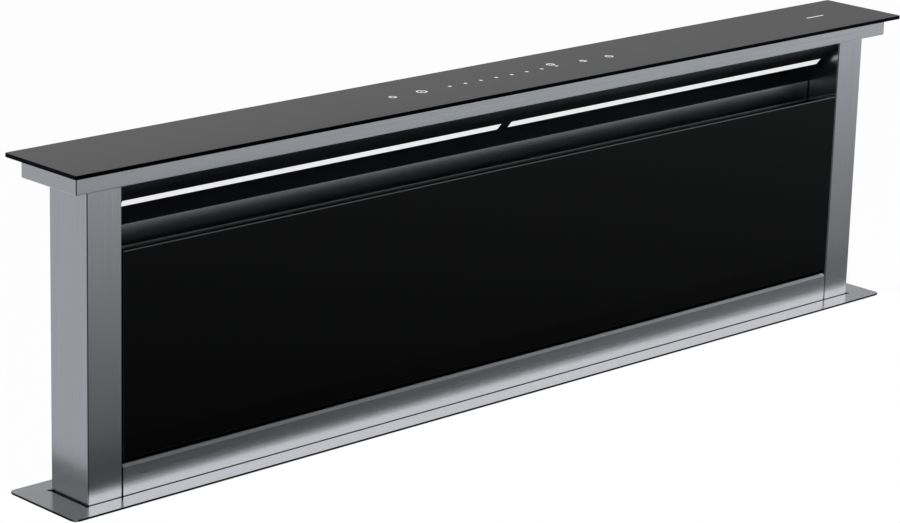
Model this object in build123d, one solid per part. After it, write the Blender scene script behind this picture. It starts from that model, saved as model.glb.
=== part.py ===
"""Pop-up worktop downdraft vent, 120 cm class, drawn raised.

Millimetres. X runs along the long side, -Y faces the hob, +Z is up.
The origin is the middle of the flange's seal, on the worktop surface.
Every sub-part is a separate node that is written to parts/NODE.step.
"""

import math
import os

from build123d import *

# ---------------------------------------------------------------- driving sizes
# tower, the part that rises out of the worktop
tower_width = 1114.0  # across both columns
tower_depth = 57.5
column_face = 39.5  # width of a column's front
steel_sheet = 1.2  # stainless skins and folded frames
fold_radius = 1.8  # at the middle of a folded sheet
column_fold = 0.65

# lift
lift_travel = 308.0
tray_rest_gap = 1.8  # tray over the flange when the tower is down
duct_skirt = 24.0  # duct below the worktop when the tower is up

# worktop flange
flange_overlap_x = 33.5
flange_overlap_y = 23.25
flange_sheet = 1.2
flange_corner = 6.0
slot_gap_x = 3.0
slot_gap_y = 1.5
relief_radius = 2.2  # round holes at the slot's corners, where the neck is bent down
relief_inset = 1.0
neck_height = 9.0
seal_height = 0.8
seal_width = 5.0
seal_inset = 3.0

# tray and glass cap
tray_overhang_x = 22.25
tray_overhang_y = 13.25
tray_height = 19.5
tray_fold = 0.9  # outer radius of its lower edge
tray_window_margin = 26.0
glass_overhang_x = 10.75
glass_overhang_y = 12.4
glass_forward = 1.4  # the cap sits a little towards the hob
glass_sheet = 4.0
glass_arris = 0.5
glass_corner = 2.0

# suction slot, lamps and baffle
slot_height = 66.4  # from the tray's underside to the front panel's top
fascia_sheet = 2.0
fascia_nose = 5.3  # blunt front of the fascia's slanting face
fascia_rear_gap = 12.0
lamp_rise = 22.6  # from the tray's underside down to the lamp's upper edge
lamp_inset = 15.05  # from the columns' front back to that edge
lamp_run = 6.74  # how far the lamp's face runs back
lamp_drop = 8.28  # and how far it drops
lamp_middle_gap = 15.2
lamp_end_margin = 14.2  # from the column's inner edge to the lamp's end
lamp_depth = 3.0
lamp_fit = 0.15
baffle_sheet = 1.0
baffle_lip = 55.6  # from the tray's underside to the baffle's upper edge
baffle_foot = 120.0  # from there down to its end on the rear panel
baffle_upright = 26.0
baffle_ramp = 42.0
baffle_bend = 60.0
baffle_side_gap = 1.8

# front panel
panel_side_gap = 3.0
panel_depth = 13.0
panel_glass = 4.0
panel_bottom_gap = 7.8  # from the trim's front edge up to the glass
panel_frame_sheet = 1.2
panel_frame_inset = 1.5
panel_stile = 24.0
pin_radius = 1.5
pin_head = 0.4  # head's rim beyond the pin
pin_head_length = 1.5
pin_wall_gap = 0.05  # pin's head behind the frame's front wall
pin_reach = 2.0
pin_clearance = 0.05
pivot_up = 9.0  # pivot above the glass's lower edge

catch_gap = 0.3  # panel's back to its catches
catch_width = 10.0
catch_depth = 8.0
catch_height = 22.0
catch_drop = 12.0  # below the panel's top

# lower trim
trim_face = 29.0  # trim's front face above the flange
trim_bevel = 4.4
trim_gap = 2.2
trim_setback = 3.0  # from the bevel back to where the shelf widens
trim_lip = 7.0

# duct sides behind the columns
duct_sheet = 1.2

# grease filters
filter_thickness = 9.0
filter_length = 186.0
filter_top_gap = 0.6  # filter's top to the baffle
filter_swing_gap = 1.0  # to the front panel's swinging foot
filter_lip_gap = 0.8
filter_ledge = 7.0
filter_gap = 3.0  # between the two cassettes
filter_side_gap = 2.5
filter_rim = 12.0
filter_pleat = 18.0
filter_pull = 30.0
filter_seat_gap = 0.3

# racks, pinions and sync shaft
gear_module = 1.5
pinion_teeth = 16
pinion_width = 10.0
pinion_side_gap = 1.0
rack_width = 12.0
rack_back = 6.0
rack_tail = 12.0
shaft_radius = 5.0
shaft_offset = 6.0  # shaft behind the tower's middle
shaft_headroom = 32.0
pressure_angle = 20.0  # degrees
bearing_clearance = 0.05
bearing_width = 14.0
bearing_inset = 30.0
bearing_ring = 11.0
bearing_foot = 4.0
bearing_foot_height = 52.0
bearing_web_rise = 9.0
tooth_backlash = 0.12

# guide rails and sliders
rail_stem = 10.0
rail_head = 20.0
rail_stem_depth = 4.0
rail_depth = 8.0
rail_end_gap = 12.0
slider_clearance = 0.3
slider_length = 50.0
slider_width = 28.0
slider_wall_gap = 1.0
slider_low = 6.0  # lower slider above the leg's end
slider_high = 24.0  # upper slider under the worktop

# chassis under the worktop
chassis_sheet = 1.2
chassis_gap_x = 18.0  # tower to the chassis's outer side
chassis_gap_y = 14.25
chassis_foot_gap = 16.0  # under the lowered legs
chassis_return = 16.0
floor_lip = 10.0
foot_height = 20.0
foot_sheet = 2.0
foot_top = 34.0
foot_brim = 18.0
foot_inset = 120.0
foot_front = 205.0
foot_rear = 75.0
foot_hole = 3.5
foot_hole_margin = 14.0

# blower on the chassis front
blower_x = 180.0
blower_up = 140.0  # axis above the chassis's underside
scroll_first = 96.0  # radius of the scroll's first arc
scroll_step = 20.0  # by which each further arc is larger
scroll_tongue = 40.0  # degrees from +X
scroll_nose = 6.0
scroll_width = 140.0
scroll_wall = 1.5
inlet_radius = 70.0
inlet_bend = 5.0
inlet_lip = 6.0
inlet_neck = 6.0
impeller_radius = 90.0
impeller_inner = 76.0
impeller_plate = 2.0
impeller_ring = 3.0
impeller_gap = 7.0
blade_count = 32
blade_sheet = 1.0
blade_sweep = 9.5  # tip ahead of the root
blade_belly = 2.6
blade_root_gap = 1.0
blade_tip_gap = 2.0  # blades end inside the front ring
hub_radius = 16.0
hub_back = 4.0  # hub behind the backplate
hub_front = 14.0
motor_radius = 46.0
motor_length = 50.0
motor_gap = 5.5  # motor's nose to the hub
motor_shoulder = 8.0
motor_boss = 4.0
motor_boss_height = 6.0
motor_hole_gap = 9.0  # round the shaft in the outer cheek
rotor_shaft = 5.0
throat_length = 150.0  # scroll axis to the throat's end
throat_corner = 12.0
throat_rim = 12.0
taper_length = 70.0
spigot_length = 80.0
spigot_radius = 74.5
spigot_wall = 1.5
spigot_back = 84.0  # spigot axis in front of the chassis
flap_gap = 1.2
flap_sheet = 1.5
flap_station = 6.0  # flap pin along the spigot
flap_pin = 2.0
flap_pin_gap = 0.08
flap_knuckle = 4.0
knuckle_pitch = 30.0
knuckle_gap = 0.5  # at each end of a knuckle

# electronics
box_width = 220.0
box_height = 150.0
box_depth = 60.0
box_wall = 1.5
box_x = -390.0
box_top = 110.0  # below the shaft
vent_count = 9
vent_pitch = 15.0
vent_length = 30.0
vent_width = 4.0
vent_inset = 50.0
vent_drop = 35.0  # vents' middle below the cover's top
board_margin = 14.0
board_rise = 36.0  # board over the box's underside
board_sheet = 1.6
board_standoff = 10.0
board_post = 3.0  # half of a square post
board_post_inset = 6.0
transformer_width = 48.0
transformer_height = 42.0
transformer_depth = 32.4
transformer_inset = 20.0
transformer_rise = 14.0
capacitor_radius = 8.0
capacitor_length = 24.4
capacitor_pitch = 20.0
capacitor_inset = 92.0
capacitor_rise = 30.0
heat_sink_width = 28.0
heat_sink_depth = 14.4
heat_sink_inset = 12.0
gland_bore = 4.5
gland_body = 9.0
gland_length = 22.0
gland_neck = 6.8
gland_inner = 6.0  # neck over the box's floor
gland_collar = 5.0
gland_dome = 4.0
gland_nut = 11.5
gland_nut_height = 4.0

# touch keys under the glass
touch_length = 352.0
touch_width = 30.0
touch_board_sheet = 1.6
touch_drop = 9.0
touch_key_gap = 0.2
touch_post = 5.0
touch_pad = 8.0
key_pitch = 22.2
key_places = [-151.6, -111.7, 123.2, 161.7] + [-72.6 + key_pitch * i for i in range(8)]

# lift drive
gearbox_x = -300.0
gearbox_half = 20.0
gearbox_radius = 26.0
worm_offset = 20.0
worm_half = 13.0  # half of the worm's square housing
drive_motor_radius = 20.0
drive_motor_length = 96.0
drive_motor_drop = 40.0
motor_flange = 6.0
gearbox_hub = 12.0
gearbox_foot = 34.0
gearbox_shoulder = 5.0  # hubs beyond the case

# worktop clamps
clamp_drop = 62.0
clamp_rise = 26.0
clamp_width = 22.0
clamp_arm = 15.0
clamp_sheet = 2.5
clamp_screw = 3.0
clamp_head = 5.4
clamp_pad = 6.0  # half of a square pad
clamp_pad_height = 4.0
clamp_screw_low = 12.0  # screw's ends below and above the bracket's arm
clamp_screw_high = 24.0
clamp_reach = 9.5
clamp_y = 21.0

# limit switches
switch_length = 20.0
switch_height = 12.0
switch_depth = 9.0
switch_inset = 12.0  # from the columns' inner side
switch_upper = 60.0  # under the worktop
switch_lower = 30.0  # over the legs' ends
lever_throw = 1.8
lever_height = 4.0

# screws
tower_screw_head = 3.2
tower_screw_height = 1.0  # low enough to pass the slot
chassis_screw_head = 4.0
chassis_screw_height = 2.2
screw_inset = 8.0
cover_screw_count = 6

# ---------------------------------------------------------------- derived places
half_w = tower_width / 2
half_d = tower_depth / 2
inner_x = half_w - column_face
flange_top = seal_height + flange_sheet
tray_bottom = flange_top + lift_travel + tray_rest_gap
tray_top = tray_bottom + tray_height
tray_half_x = half_w + tray_overhang_x
tray_half_y = half_d + tray_overhang_y
glass_half_x = tray_half_x + glass_overhang_x
glass_half_y = tray_half_y + glass_overhang_y
flange_half_x = half_w + flange_overlap_x
flange_half_y = half_d + flange_overlap_y
slot_half_x = half_w + slot_gap_x
slot_half_y = half_d + slot_gap_y
duct_bottom = -duct_skirt
shaft_z = duct_bottom - lift_travel - shaft_headroom
leg_bottom = shaft_z - rack_tail
rack_top = shaft_z + lift_travel + rack_tail
chassis_top = seal_height
chassis_bottom = leg_bottom - lift_travel - chassis_foot_gap
chassis_half_x = half_w + chassis_gap_x
chassis_half_y = half_d + chassis_gap_y
wall_in_x = chassis_half_x - chassis_sheet
wall_in_y = chassis_half_y - chassis_sheet
duct_in_x = inner_x - duct_sheet
trim_edge = flange_top + trim_face
trim_top = trim_edge + trim_bevel
panel_bottom = trim_edge + panel_bottom_gap
panel_top = tray_bottom - slot_height
panel_half_x = inner_x - panel_side_gap
panel_back = -half_d + panel_depth
pivot_y = -half_d + panel_glass + panel_frame_sheet + pin_wall_gap + pin_radius + pin_head
pivot_z = panel_bottom + pivot_up
swing_back = math.hypot(panel_back - pivot_y, pivot_up - panel_frame_inset)
filter_y = pivot_y + swing_back + filter_swing_gap
filter_half_x = duct_in_x - filter_side_gap
inlet_hole_radius = inlet_radius + scroll_wall + inlet_bend
impeller_width = scroll_width - scroll_wall - motor_length - motor_gap - hub_back - impeller_gap
blower_z = chassis_bottom + blower_up


# ---------------------------------------------------------------- small makers
def block(x0, x1, y0, y1, z0, z1):
    """A block between two corners."""
    centre = Pos((x0 + x1) / 2, (y0 + y1) / 2, (z0 + z1) / 2)
    return centre * Box(x1 - x0, y1 - y0, z1 - z0)


def along_x(sketch, x0, x1):
    """Runs a profile drawn in Y and Z along X."""
    return Pos(x0, 0, 0) * extrude(Plane.YZ * sketch, x1 - x0)


def along_y(sketch, y0, y1):
    """Runs a profile drawn in X and Z along Y."""
    return Pos(0, y1, 0) * extrude(Plane.XZ * sketch, y1 - y0)


def along_z(sketch, z0, z1):
    """Runs a profile drawn in X and Y up Z."""
    return Pos(0, 0, z0) * extrude(sketch, z1 - z0)


def folded(points, thickness, radius=fold_radius):
    """A folded sheet's section: its middle line with rounded bends."""
    return trace(FilletPolyline(*points, radius=radius), line_width=thickness)


def filled(points):
    """A closed outline with straight sides."""
    return make_face(Polyline(*points, close=True))


def disc_y(radius, x, z, y0, y1):
    """A round bar along Y."""
    return along_y(Pos(x, z) * Circle(radius), y0, y1)


def disc_x(radius, y, z, x0, x1):
    """A round bar along X."""
    return along_x(Pos(y, z) * Circle(radius), x0, x1)


def both_sides(shape):
    """A shape and its mirror image in the YZ plane."""
    return [shape, mirror(shape, about=Plane.YZ)]


def save(name, shapes):
    """Writes one node; several solids become one group."""
    solids = []
    for shape in shapes if isinstance(shapes, (list, tuple)) else [shapes]:
        solids += shape.solids()
    node = solids[0] if len(solids) == 1 else Compound(children=solids)
    node.label = name
    export_step(node, f"parts/{name}.step")


# ---------------------------------------------------------------- worktop flange
def worktop_flange():
    """Thin steel flange with a turned-down neck round the tower's slot."""
    sheet = RectangleRounded(2 * flange_half_x, 2 * flange_half_y, flange_corner)
    sheet -= Rectangle(2 * slot_half_x, 2 * slot_half_y)
    relief_x = slot_half_x - relief_inset
    relief_y = slot_half_y - relief_inset
    for x in (-relief_x, relief_x):
        for y in (-relief_y, relief_y):
            sheet -= Pos(x, y) * Circle(relief_radius)
    flange = along_z(sheet, seal_height, flange_top)
    t = flange_sheet
    long_tab = Rectangle(2 * (relief_x - relief_radius), t)
    short_tab = Rectangle(t, 2 * (relief_y - relief_radius))
    low = flange_top - neck_height
    for side in (-1, 1):
        flange += along_z(Pos(0, side * (slot_half_y + t / 2)) * long_tab, low, flange_top)
        flange += along_z(Pos(side * (slot_half_x + t / 2), 0) * short_tab, low, flange_top)
    return flange


def worktop_seal():
    """Foam ring that the flange presses on the worktop."""
    out_x = flange_half_x - seal_inset
    out_y = flange_half_y - seal_inset
    radius = flange_corner - seal_inset
    ring = RectangleRounded(2 * out_x, 2 * out_y, radius)
    ring -= Rectangle(2 * (out_x - seal_width), 2 * (out_y - seal_width))
    return along_z(ring, 0, seal_height)


# ---------------------------------------------------------------- chassis
def chassis_panel(side, hole=None):
    """Front or rear wall of the chassis, folded in at both ends."""
    mid = side * (chassis_half_y - chassis_sheet / 2)
    end = chassis_half_x - chassis_sheet * 1.5
    tip = mid - side * chassis_return
    section = folded([(-end, tip), (-end, mid), (end, mid), (end, tip)], chassis_sheet)
    wall = along_z(section, chassis_bottom + chassis_sheet, chassis_top)
    return wall if hole is None else wall - hole


def chassis_side():
    """Right side wall, between the ends of the front and rear walls."""
    low = chassis_bottom + chassis_sheet
    return block(wall_in_x, chassis_half_x, -chassis_half_y, chassis_half_y, low, chassis_top)


def chassis_floor():
    """Shallow pan that the walls stand in."""
    t = chassis_sheet
    x1 = chassis_half_x + t
    y1 = chassis_half_y + t
    pan = block(-x1, x1, -y1, y1, chassis_bottom, chassis_bottom + floor_lip)
    return pan - block(t - x1, x1 - t, t - y1, y1 - t, chassis_bottom + t, chassis_bottom + floor_lip + 1)


def foot_rail(x):
    """Hat-shaped rail that carries the chassis on the cabinet's floor."""
    floor_z = chassis_bottom - foot_height
    t = foot_sheet
    low = floor_z + t / 2
    high = chassis_bottom - t / 2
    top = foot_top / 2 - t / 2
    brim = top + foot_brim
    path = Polyline((-brim, low), (-top, low), (-top, high), (top, high), (top, low), (brim, low))
    rail = Pos(x, 0, 0) * along_y(trace(path, line_width=t), -foot_front, foot_rear)
    hole_x = x + math.copysign(foot_top / 2 + foot_brim / 2 - t / 2, x)
    for y in (-foot_front + foot_hole_margin, foot_rear - foot_hole_margin):
        rail -= along_z(Pos(hole_x, y) * Circle(foot_hole), floor_z - 1, floor_z + t + 1)
    return rail


# ---------------------------------------------------------------- columns and duct
def column():
    """Right column: folded front, outer side and rear, down to the leg's end."""
    mid_y = half_d - steel_sheet / 2
    mid_x = half_w - steel_sheet / 2
    path = [(inner_x, -mid_y), (mid_x, -mid_y), (mid_x, mid_y), (inner_x, mid_y)]
    return along_z(folded(path, steel_sheet, column_fold), leg_bottom, tray_bottom)


def duct_side():
    """Right inner wall: closes the column and carries the rack and the panel's pin."""
    wall = block(duct_in_x, inner_x, -half_d + steel_sheet, half_d - steel_sheet, leg_bottom, tray_bottom)
    near = filter_thickness + filter_seat_gap
    far = near + duct_sheet
    ledge = block(duct_in_x - filter_ledge, duct_in_x, near, far, trim_lip + 2, filter_length)
    hole = disc_x(pin_radius + pin_clearance, pivot_y, pivot_z, duct_in_x - 1, inner_x + 1)
    return wall + filter_place() * ledge - hole


def tower_rear_panel():
    """Rear skin between the columns, with turned-in edges top and bottom."""
    mid = half_d - steel_sheet / 2
    low = duct_bottom + steel_sheet / 2
    high = tray_bottom - steel_sheet / 2
    path = [(mid - 9, low), (mid, low), (mid, high), (mid - 9, high)]
    return along_x(folded(path, steel_sheet), -duct_in_x, duct_in_x)


def lower_trim():
    """Bevelled front strip with a shelf that reaches the duct walls and carries the filters."""
    t = steel_sheet
    face = -half_d
    outer = [
        (face, duct_bottom),
        (face, trim_edge),
        (face + trim_bevel, trim_top),
        (shelf_back, trim_top),
        (shelf_back, trim_top + trim_lip),
        (shelf_back + t, trim_top + trim_lip),
        (shelf_back + t, trim_top - t),
        (face + trim_bevel + t * 0.4, trim_top - t),
        (face + t, trim_edge - t * 0.4),
        (face + t, duct_bottom),
    ]
    trim = along_x(filled(outer), -inner_x + trim_gap, inner_x - trim_gap)
    near = face + trim_bevel + trim_setback
    return trim + block(-duct_in_x, duct_in_x, near, shelf_back + t, trim_top - t, trim_top)


# ---------------------------------------------------------------- tray, glass and controls
def top_tray():
    """Shallow steel pan under the glass, open below between the columns."""
    outer = RectangleRounded(2 * tray_half_x, 2 * tray_half_y, 1.2)
    body = along_z(outer, tray_bottom, tray_top)
    body = fillet(body.faces().sort_by(Axis.Z)[0].edges(), tray_fold)
    t = steel_sheet
    cavity = along_z(
        Rectangle(2 * (tray_half_x - t), 2 * (tray_half_y - t)), tray_bottom + t, tray_top - t
    )
    window = along_z(
        Rectangle(2 * (inner_x - tray_window_margin), tower_depth - tray_window_margin),
        tray_bottom - 1, tray_bottom + t + 1,
    )
    recess = Pos(0, -glass_forward) * Rectangle(touch_length + 4, touch_width + 4)
    pocket = along_z(recess, tray_top - t - 1, tray_top + 1)
    return body - cavity - window - pocket


def glass_top():
    """Black glass cap with a ground arris on its upper edge."""
    sheet = Pos(0, -glass_forward) * RectangleRounded(2 * glass_half_x, 2 * glass_half_y, glass_corner)
    glass = along_z(sheet, tray_top, tray_top + glass_sheet)
    return chamfer(glass.faces().sort_by(Axis.Z)[-1].edges(), glass_arris)


def touch_board():
    """Circuit board on four posts under the glass, with a conductive foam pad under each touch key."""
    top = tray_top - touch_drop
    outline = Pos(0, -glass_forward) * RectangleRounded(touch_length, touch_width, 3)
    board = along_z(outline, top - touch_board_sheet, top)
    for x in (-0.46, 0.46):
        for y in (-0.36, 0.36):
            place = Pos(x * touch_length, y * touch_width - glass_forward)
            board += along_z(place * Rectangle(touch_post, touch_post), top, tray_top)
    pad = along_z(Rectangle(touch_pad, touch_pad), top, tray_top - touch_key_gap)
    return board + [Pos(x, -glass_forward, 0) * pad for x in key_places]


# ---------------------------------------------------------------- lamps, fascia and baffle
lamp_length = math.hypot(lamp_run, lamp_drop)
slope_y = lamp_run / lamp_length
slope_z = -lamp_drop / lamp_length
lamp_y = -half_d + lamp_inset
lamp_z = tray_bottom - lamp_rise


def on_slope(along, behind):
    """A point on the lamp's slanting face: along it from the lamp's upper edge, and behind it."""
    return (lamp_y + slope_y * along - slope_z * behind, lamp_z + slope_z * along + slope_y * behind)


fascia_head = lamp_rise / -slope_z
fascia_tail = (lamp_rise - baffle_lip) / slope_z
fascia_foot = on_slope(fascia_tail, 0)

# the filters lean back from the panel's foot until their tops come close to the baffle
filter_reach = fascia_foot[0] - filter_top_gap - filter_y
filter_diagonal = math.hypot(filter_length, filter_thickness)
lean = math.asin(filter_reach / filter_diagonal) - math.atan2(filter_thickness, filter_length)
filter_lean = math.degrees(lean)
filter_base = trim_top + filter_seat_gap + filter_thickness * math.sin(lean)
shelf_back = filter_y + filter_thickness / math.cos(lean) + filter_lip_gap


def led_fascia():
    """Black extrusion over the slot, with a pocket for each lamp in its slanting face."""
    t = fascia_sheet
    seat = lamp_depth + lamp_fit
    gap = lamp_fit
    top = tray_bottom
    head = on_slope(fascia_nose - fascia_head, 0)
    section = [
        head,
        on_slope(fascia_tail, 0),
        on_slope(fascia_tail, t),
        on_slope(lamp_length + gap + t, t),
        on_slope(lamp_length + gap + t, seat + t),
        on_slope(-gap - t, seat + t),
        (on_slope(-gap - t, seat + t)[0], top - t),
        (half_d - fascia_rear_gap, top - t),
        (half_d - fascia_rear_gap, top),
        (head[0], top),
    ]
    far_edge = lamp_length + gap
    pocket = [on_slope(-gap, -1), on_slope(far_edge, -1), on_slope(far_edge, seat), on_slope(-gap, seat)]
    near, far = lamp_span(1)
    fascia = along_x(filled(section), -duct_in_x, duct_in_x)
    for cut in both_sides(along_x(filled(pocket), near - gap, far + gap)):
        fascia -= cut
    return fascia


def lamp_span(side):
    """The two ends of one lamp along X."""
    near = lamp_middle_gap / 2
    far = inner_x - lamp_end_margin
    return (near, far) if side > 0 else (-far, -near)


def led_diffuser(side):
    """Opal cover of one lamp, flush with the fascia."""
    depth = lamp_depth - 1.0
    section = [on_slope(0, 0), on_slope(lamp_length, 0), on_slope(lamp_length, depth), on_slope(0, depth)]
    return along_x(filled(section), *lamp_span(side))


def led_board(side):
    """Aluminium strip with the light sources, behind the diffuser."""
    section = [
        on_slope(0.4, lamp_depth - 1.0), on_slope(lamp_length - 0.4, lamp_depth - 1.0),
        on_slope(lamp_length - 0.4, lamp_depth), on_slope(0.4, lamp_depth),
    ]
    return along_x(filled(section), *lamp_span(side))


def air_baffle():
    """Sheet that stands behind the slot and bends back to the rear panel, to lead the air down."""
    near = fascia_foot[0] + baffle_sheet / 2
    rear = half_d - steel_sheet - baffle_sheet / 2
    high = fascia_foot[1]
    bend = high - baffle_upright
    path = [(near, high), (near, bend), (rear, bend - baffle_ramp), (rear, high - baffle_foot)]
    reach = duct_in_x - baffle_side_gap
    return along_x(folded(path, baffle_sheet, baffle_bend), -reach, reach)


# ---------------------------------------------------------------- grease filters
def filter_place():
    """Stands a filter on the trim's shelf and leans it back."""
    return Pos(0, filter_y, filter_base) * Rot(-filter_lean, 0, 0)


def grease_filter(side):
    """Cassette: a rim, a pleated metal pack and a pull ring."""
    x0 = filter_gap / 2
    x1 = filter_half_x
    thick = filter_thickness
    rim = block(x0, x1, 0, thick, 0, filter_length)
    rim -= block(x0 + filter_rim, x1 - filter_rim, -1, thick + 1, filter_rim, filter_length - filter_rim)
    clear = x1 - x0 - 2 * filter_rim
    count = int(clear // filter_pleat)
    pitch = clear / count
    sheet = 1.0
    near = 1.2
    far = thick - 1.2
    points = []
    for i in range(count):
        points.append((x0 + filter_rim + i * pitch, near))
        points.append((x0 + filter_rim + (i + 0.5) * pitch, far - sheet))
    points.append((x0 + filter_rim + count * pitch, near))
    back = [(x, y + sheet) for x, y in reversed(points)]
    pleats = along_z(filled(points + back), filter_rim, filter_length - filter_rim)
    middle = (x0 + x1) / 2
    reach = filter_pull
    pull = block(middle - reach, middle + reach, -1.6, 0, filter_length - 10, filter_length - 3)
    reach -= 4
    pull -= block(middle - reach, middle + reach, -0.8, 0, filter_length - 8, filter_length - 5)
    cassette = filter_place() * (rim + pleats + pull)
    return cassette if side > 0 else mirror(cassette, about=Plane.YZ)


# ---------------------------------------------------------------- front panel
def front_glass():
    """Black glass front of the panel."""
    glass = block(-panel_half_x, panel_half_x, -half_d, -half_d + panel_glass, panel_bottom, panel_top)
    return chamfer(glass.faces().sort_by(Axis.Y)[0].edges(), glass_arris)


def front_panel_frame():
    """Folded frame behind the glass, with its side walls drilled for the pins."""
    x1 = panel_half_x
    z0 = panel_bottom + panel_frame_inset
    z1 = panel_top
    y0 = -half_d + panel_glass
    y1 = panel_back
    t = panel_frame_sheet
    pan = block(-x1, x1, y0, y1, z0, z1)
    pan -= block(-x1 + t, x1 - t, y0 + t, y1 - t, z0 + t, z1 - t)
    window_x = x1 - panel_stile
    pan -= block(-window_x, window_x, y1 - t - 1, y1 + 1, z0 + panel_stile, z1 - panel_stile)
    for pin in both_sides(disc_x(pin_radius, pivot_y, pivot_z, x1 - t - 1, x1 + 1)):
        pan -= pin
    return pan


def panel_pins():
    """Two pivot pins riveted in the frame."""
    seat = panel_half_x - panel_frame_sheet
    head = disc_x(pin_radius + pin_head, pivot_y, pivot_z, seat - pin_head_length, seat)
    pin = disc_x(pin_radius, pivot_y, pivot_z, seat, inner_x + pin_reach)
    return both_sides(head + pin)


def panel_catches():
    """Catches on the duct walls that hold the panel shut."""
    y0 = panel_back + catch_gap
    high = panel_top - catch_drop
    return both_sides(
        block(duct_in_x - catch_width, duct_in_x, y0, y0 + catch_depth, high - catch_height, high)
    )


# ---------------------------------------------------------------- lift
pitch_radius = gear_module * pinion_teeth / 2
pitch_line = shaft_offset - pitch_radius
circular_pitch = math.pi * gear_module


def rack():
    """Right rack, bolted to the duct wall along the leg, with its teeth towards the rear."""
    root = pitch_line - 1.25 * gear_module
    tip = pitch_line + gear_module
    back = root - rack_back
    slope = math.tan(math.radians(pressure_angle))
    low = leg_bottom
    first = shaft_z + circular_pitch / 2
    while first - circular_pitch > low + 2:
        first -= circular_pitch
    outline = [(back, low), (root, low)]
    z = first
    while z < rack_top - 4:
        half = circular_pitch / 4 - tooth_backlash / 2
        foot = half + 1.25 * gear_module * slope
        head = half - gear_module * slope
        outline += [(root, z - foot), (tip, z - head), (tip, z + head), (root, z + foot)]
        z += circular_pitch
    outline += [(root, rack_top), (back, rack_top)]
    return along_x(filled(outline), duct_in_x - rack_width, duct_in_x)


def involute(base, radius):
    """Roll angle and polar angle of the involute at a radius."""
    roll = math.sqrt((radius / base) ** 2 - 1)
    return roll - math.atan(roll)


def pinion():
    """Right spur pinion with involute flanks, in mesh with the rack at rest."""
    base = pitch_radius * math.cos(math.radians(pressure_angle))
    tip = pitch_radius + gear_module
    root = pitch_radius - 1.25 * gear_module
    half_pitch = math.pi / (2 * pinion_teeth) - tooth_backlash / 2 / pitch_radius
    offset = half_pitch + involute(base, pitch_radius)
    steps = 2
    outline = []
    for k in range(pinion_teeth):
        # a tooth points at the rack's gap, which lies at the shaft's height
        centre = math.pi + 2 * math.pi * k / pinion_teeth
        outline.append((root, centre - offset))
        flank = []
        for i in range(1, steps + 1):
            radius = base + (tip - base) * i / steps
            flank.append((radius, offset - involute(base, radius)))
        outline += [(radius, centre - angle) for radius, angle in flank]
        outline += [(radius, centre + angle) for radius, angle in reversed(flank)]
        outline.append((root, centre + offset))
    points = [(shaft_offset + r * math.cos(a), shaft_z + r * math.sin(a)) for r, a in outline]
    x1 = duct_in_x - pinion_side_gap
    wheel = along_x(filled(points), x1 - pinion_width, x1)
    hub = disc_x(shaft_radius + 3.5, shaft_offset, shaft_z, x1 - pinion_width - 6, x1 - pinion_width)
    return wheel + hub - disc_x(shaft_radius, shaft_offset, shaft_z, x1 - pinion_width - 7, x1 + 1)


def sync_shaft():
    """Shaft that keeps both pinions in step."""
    end = duct_in_x - pinion_side_gap
    return disc_x(shaft_radius, shaft_offset, shaft_z, -end, end)


def shaft_bearing():
    """Right bearing bracket: a ring on a foot that is screwed to the rear wall."""
    x1 = duct_in_x - bearing_inset
    x0 = x1 - bearing_width
    ring = Pos(shaft_offset, shaft_z) * Circle(bearing_ring)
    wide = bearing_ring + bearing_web_rise
    near = wall_in_y - bearing_foot + 1
    web = filled([
        (shaft_offset, shaft_z - bearing_ring), (near, shaft_z - wide),
        (near, shaft_z + wide), (shaft_offset, shaft_z + bearing_ring),
    ])
    foot = Pos(wall_in_y - bearing_foot / 2, shaft_z) * Rectangle(bearing_foot, bearing_foot_height)
    bracket = along_x(ring + web + foot, x0, x1)
    bore = disc_x(shaft_radius + bearing_clearance, shaft_offset, shaft_z, x0 - 1, x1 + 1)
    return bracket - bore


def guide_rail():
    """Right T-shaped rail on the chassis's side wall."""
    u0 = wall_in_x
    u1 = wall_in_x - rail_stem_depth
    u2 = wall_in_x - rail_depth
    s = rail_stem / 2
    h = rail_head / 2
    section = filled([(u0, -s), (u1, -s), (u1, -h), (u2, -h), (u2, h), (u1, h), (u1, s), (u0, s)])
    return along_z(section, chassis_bottom + chassis_sheet, chassis_top - rail_end_gap)


def sliders():
    """Right pair of plastic sliders that grip the rail's head."""
    c = slider_clearance
    u1 = wall_in_x - rail_stem_depth + c
    u2 = wall_in_x - rail_depth - c
    outer = wall_in_x - slider_wall_gap
    s = rail_stem / 2 + c
    h = rail_head / 2 + c
    w = slider_width / 2
    section = filled([
        (half_w, -w), (outer, -w), (outer, -s), (u1, -s), (u1, -h), (u2, -h),
        (u2, h), (u1, h), (u1, s), (outer, s), (outer, w), (half_w, w),
    ])
    low = leg_bottom + slider_low
    high = -slider_high - slider_length
    return [along_z(section, z, z + slider_length) for z in (low, high)]


def lift_gearbox():
    """Worm gearbox round the sync shaft, with a foot on the rear wall."""
    x0 = gearbox_x - gearbox_half
    x1 = gearbox_x + gearbox_half
    case = Pos(shaft_offset, shaft_z) * Circle(gearbox_radius)
    foot = Pos((shaft_offset + wall_in_y) / 2, shaft_z) * Rectangle(wall_in_y - shaft_offset, gearbox_foot)
    wheel_case = along_x(case + foot, x0 + gearbox_shoulder, x1 - gearbox_shoulder)
    worm_y = shaft_offset - worm_offset
    low = shaft_z - drive_motor_drop
    seat = low + motor_flange
    worm_box = Pos(gearbox_x, worm_y) * Rectangle(2 * worm_half, 2 * worm_half)
    worm_case = along_z(worm_box, seat, shaft_z + gearbox_radius - 2)
    mouth = along_z(Pos(gearbox_x, worm_y) * Circle(drive_motor_radius), low, seat)
    hubs = disc_x(gearbox_hub, shaft_offset, shaft_z, x0, x1)
    bore = disc_x(shaft_radius + bearing_clearance, shaft_offset, shaft_z, x0 - 1, x1 + 1)
    return wheel_case + worm_case + mouth + hubs - bore


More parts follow.
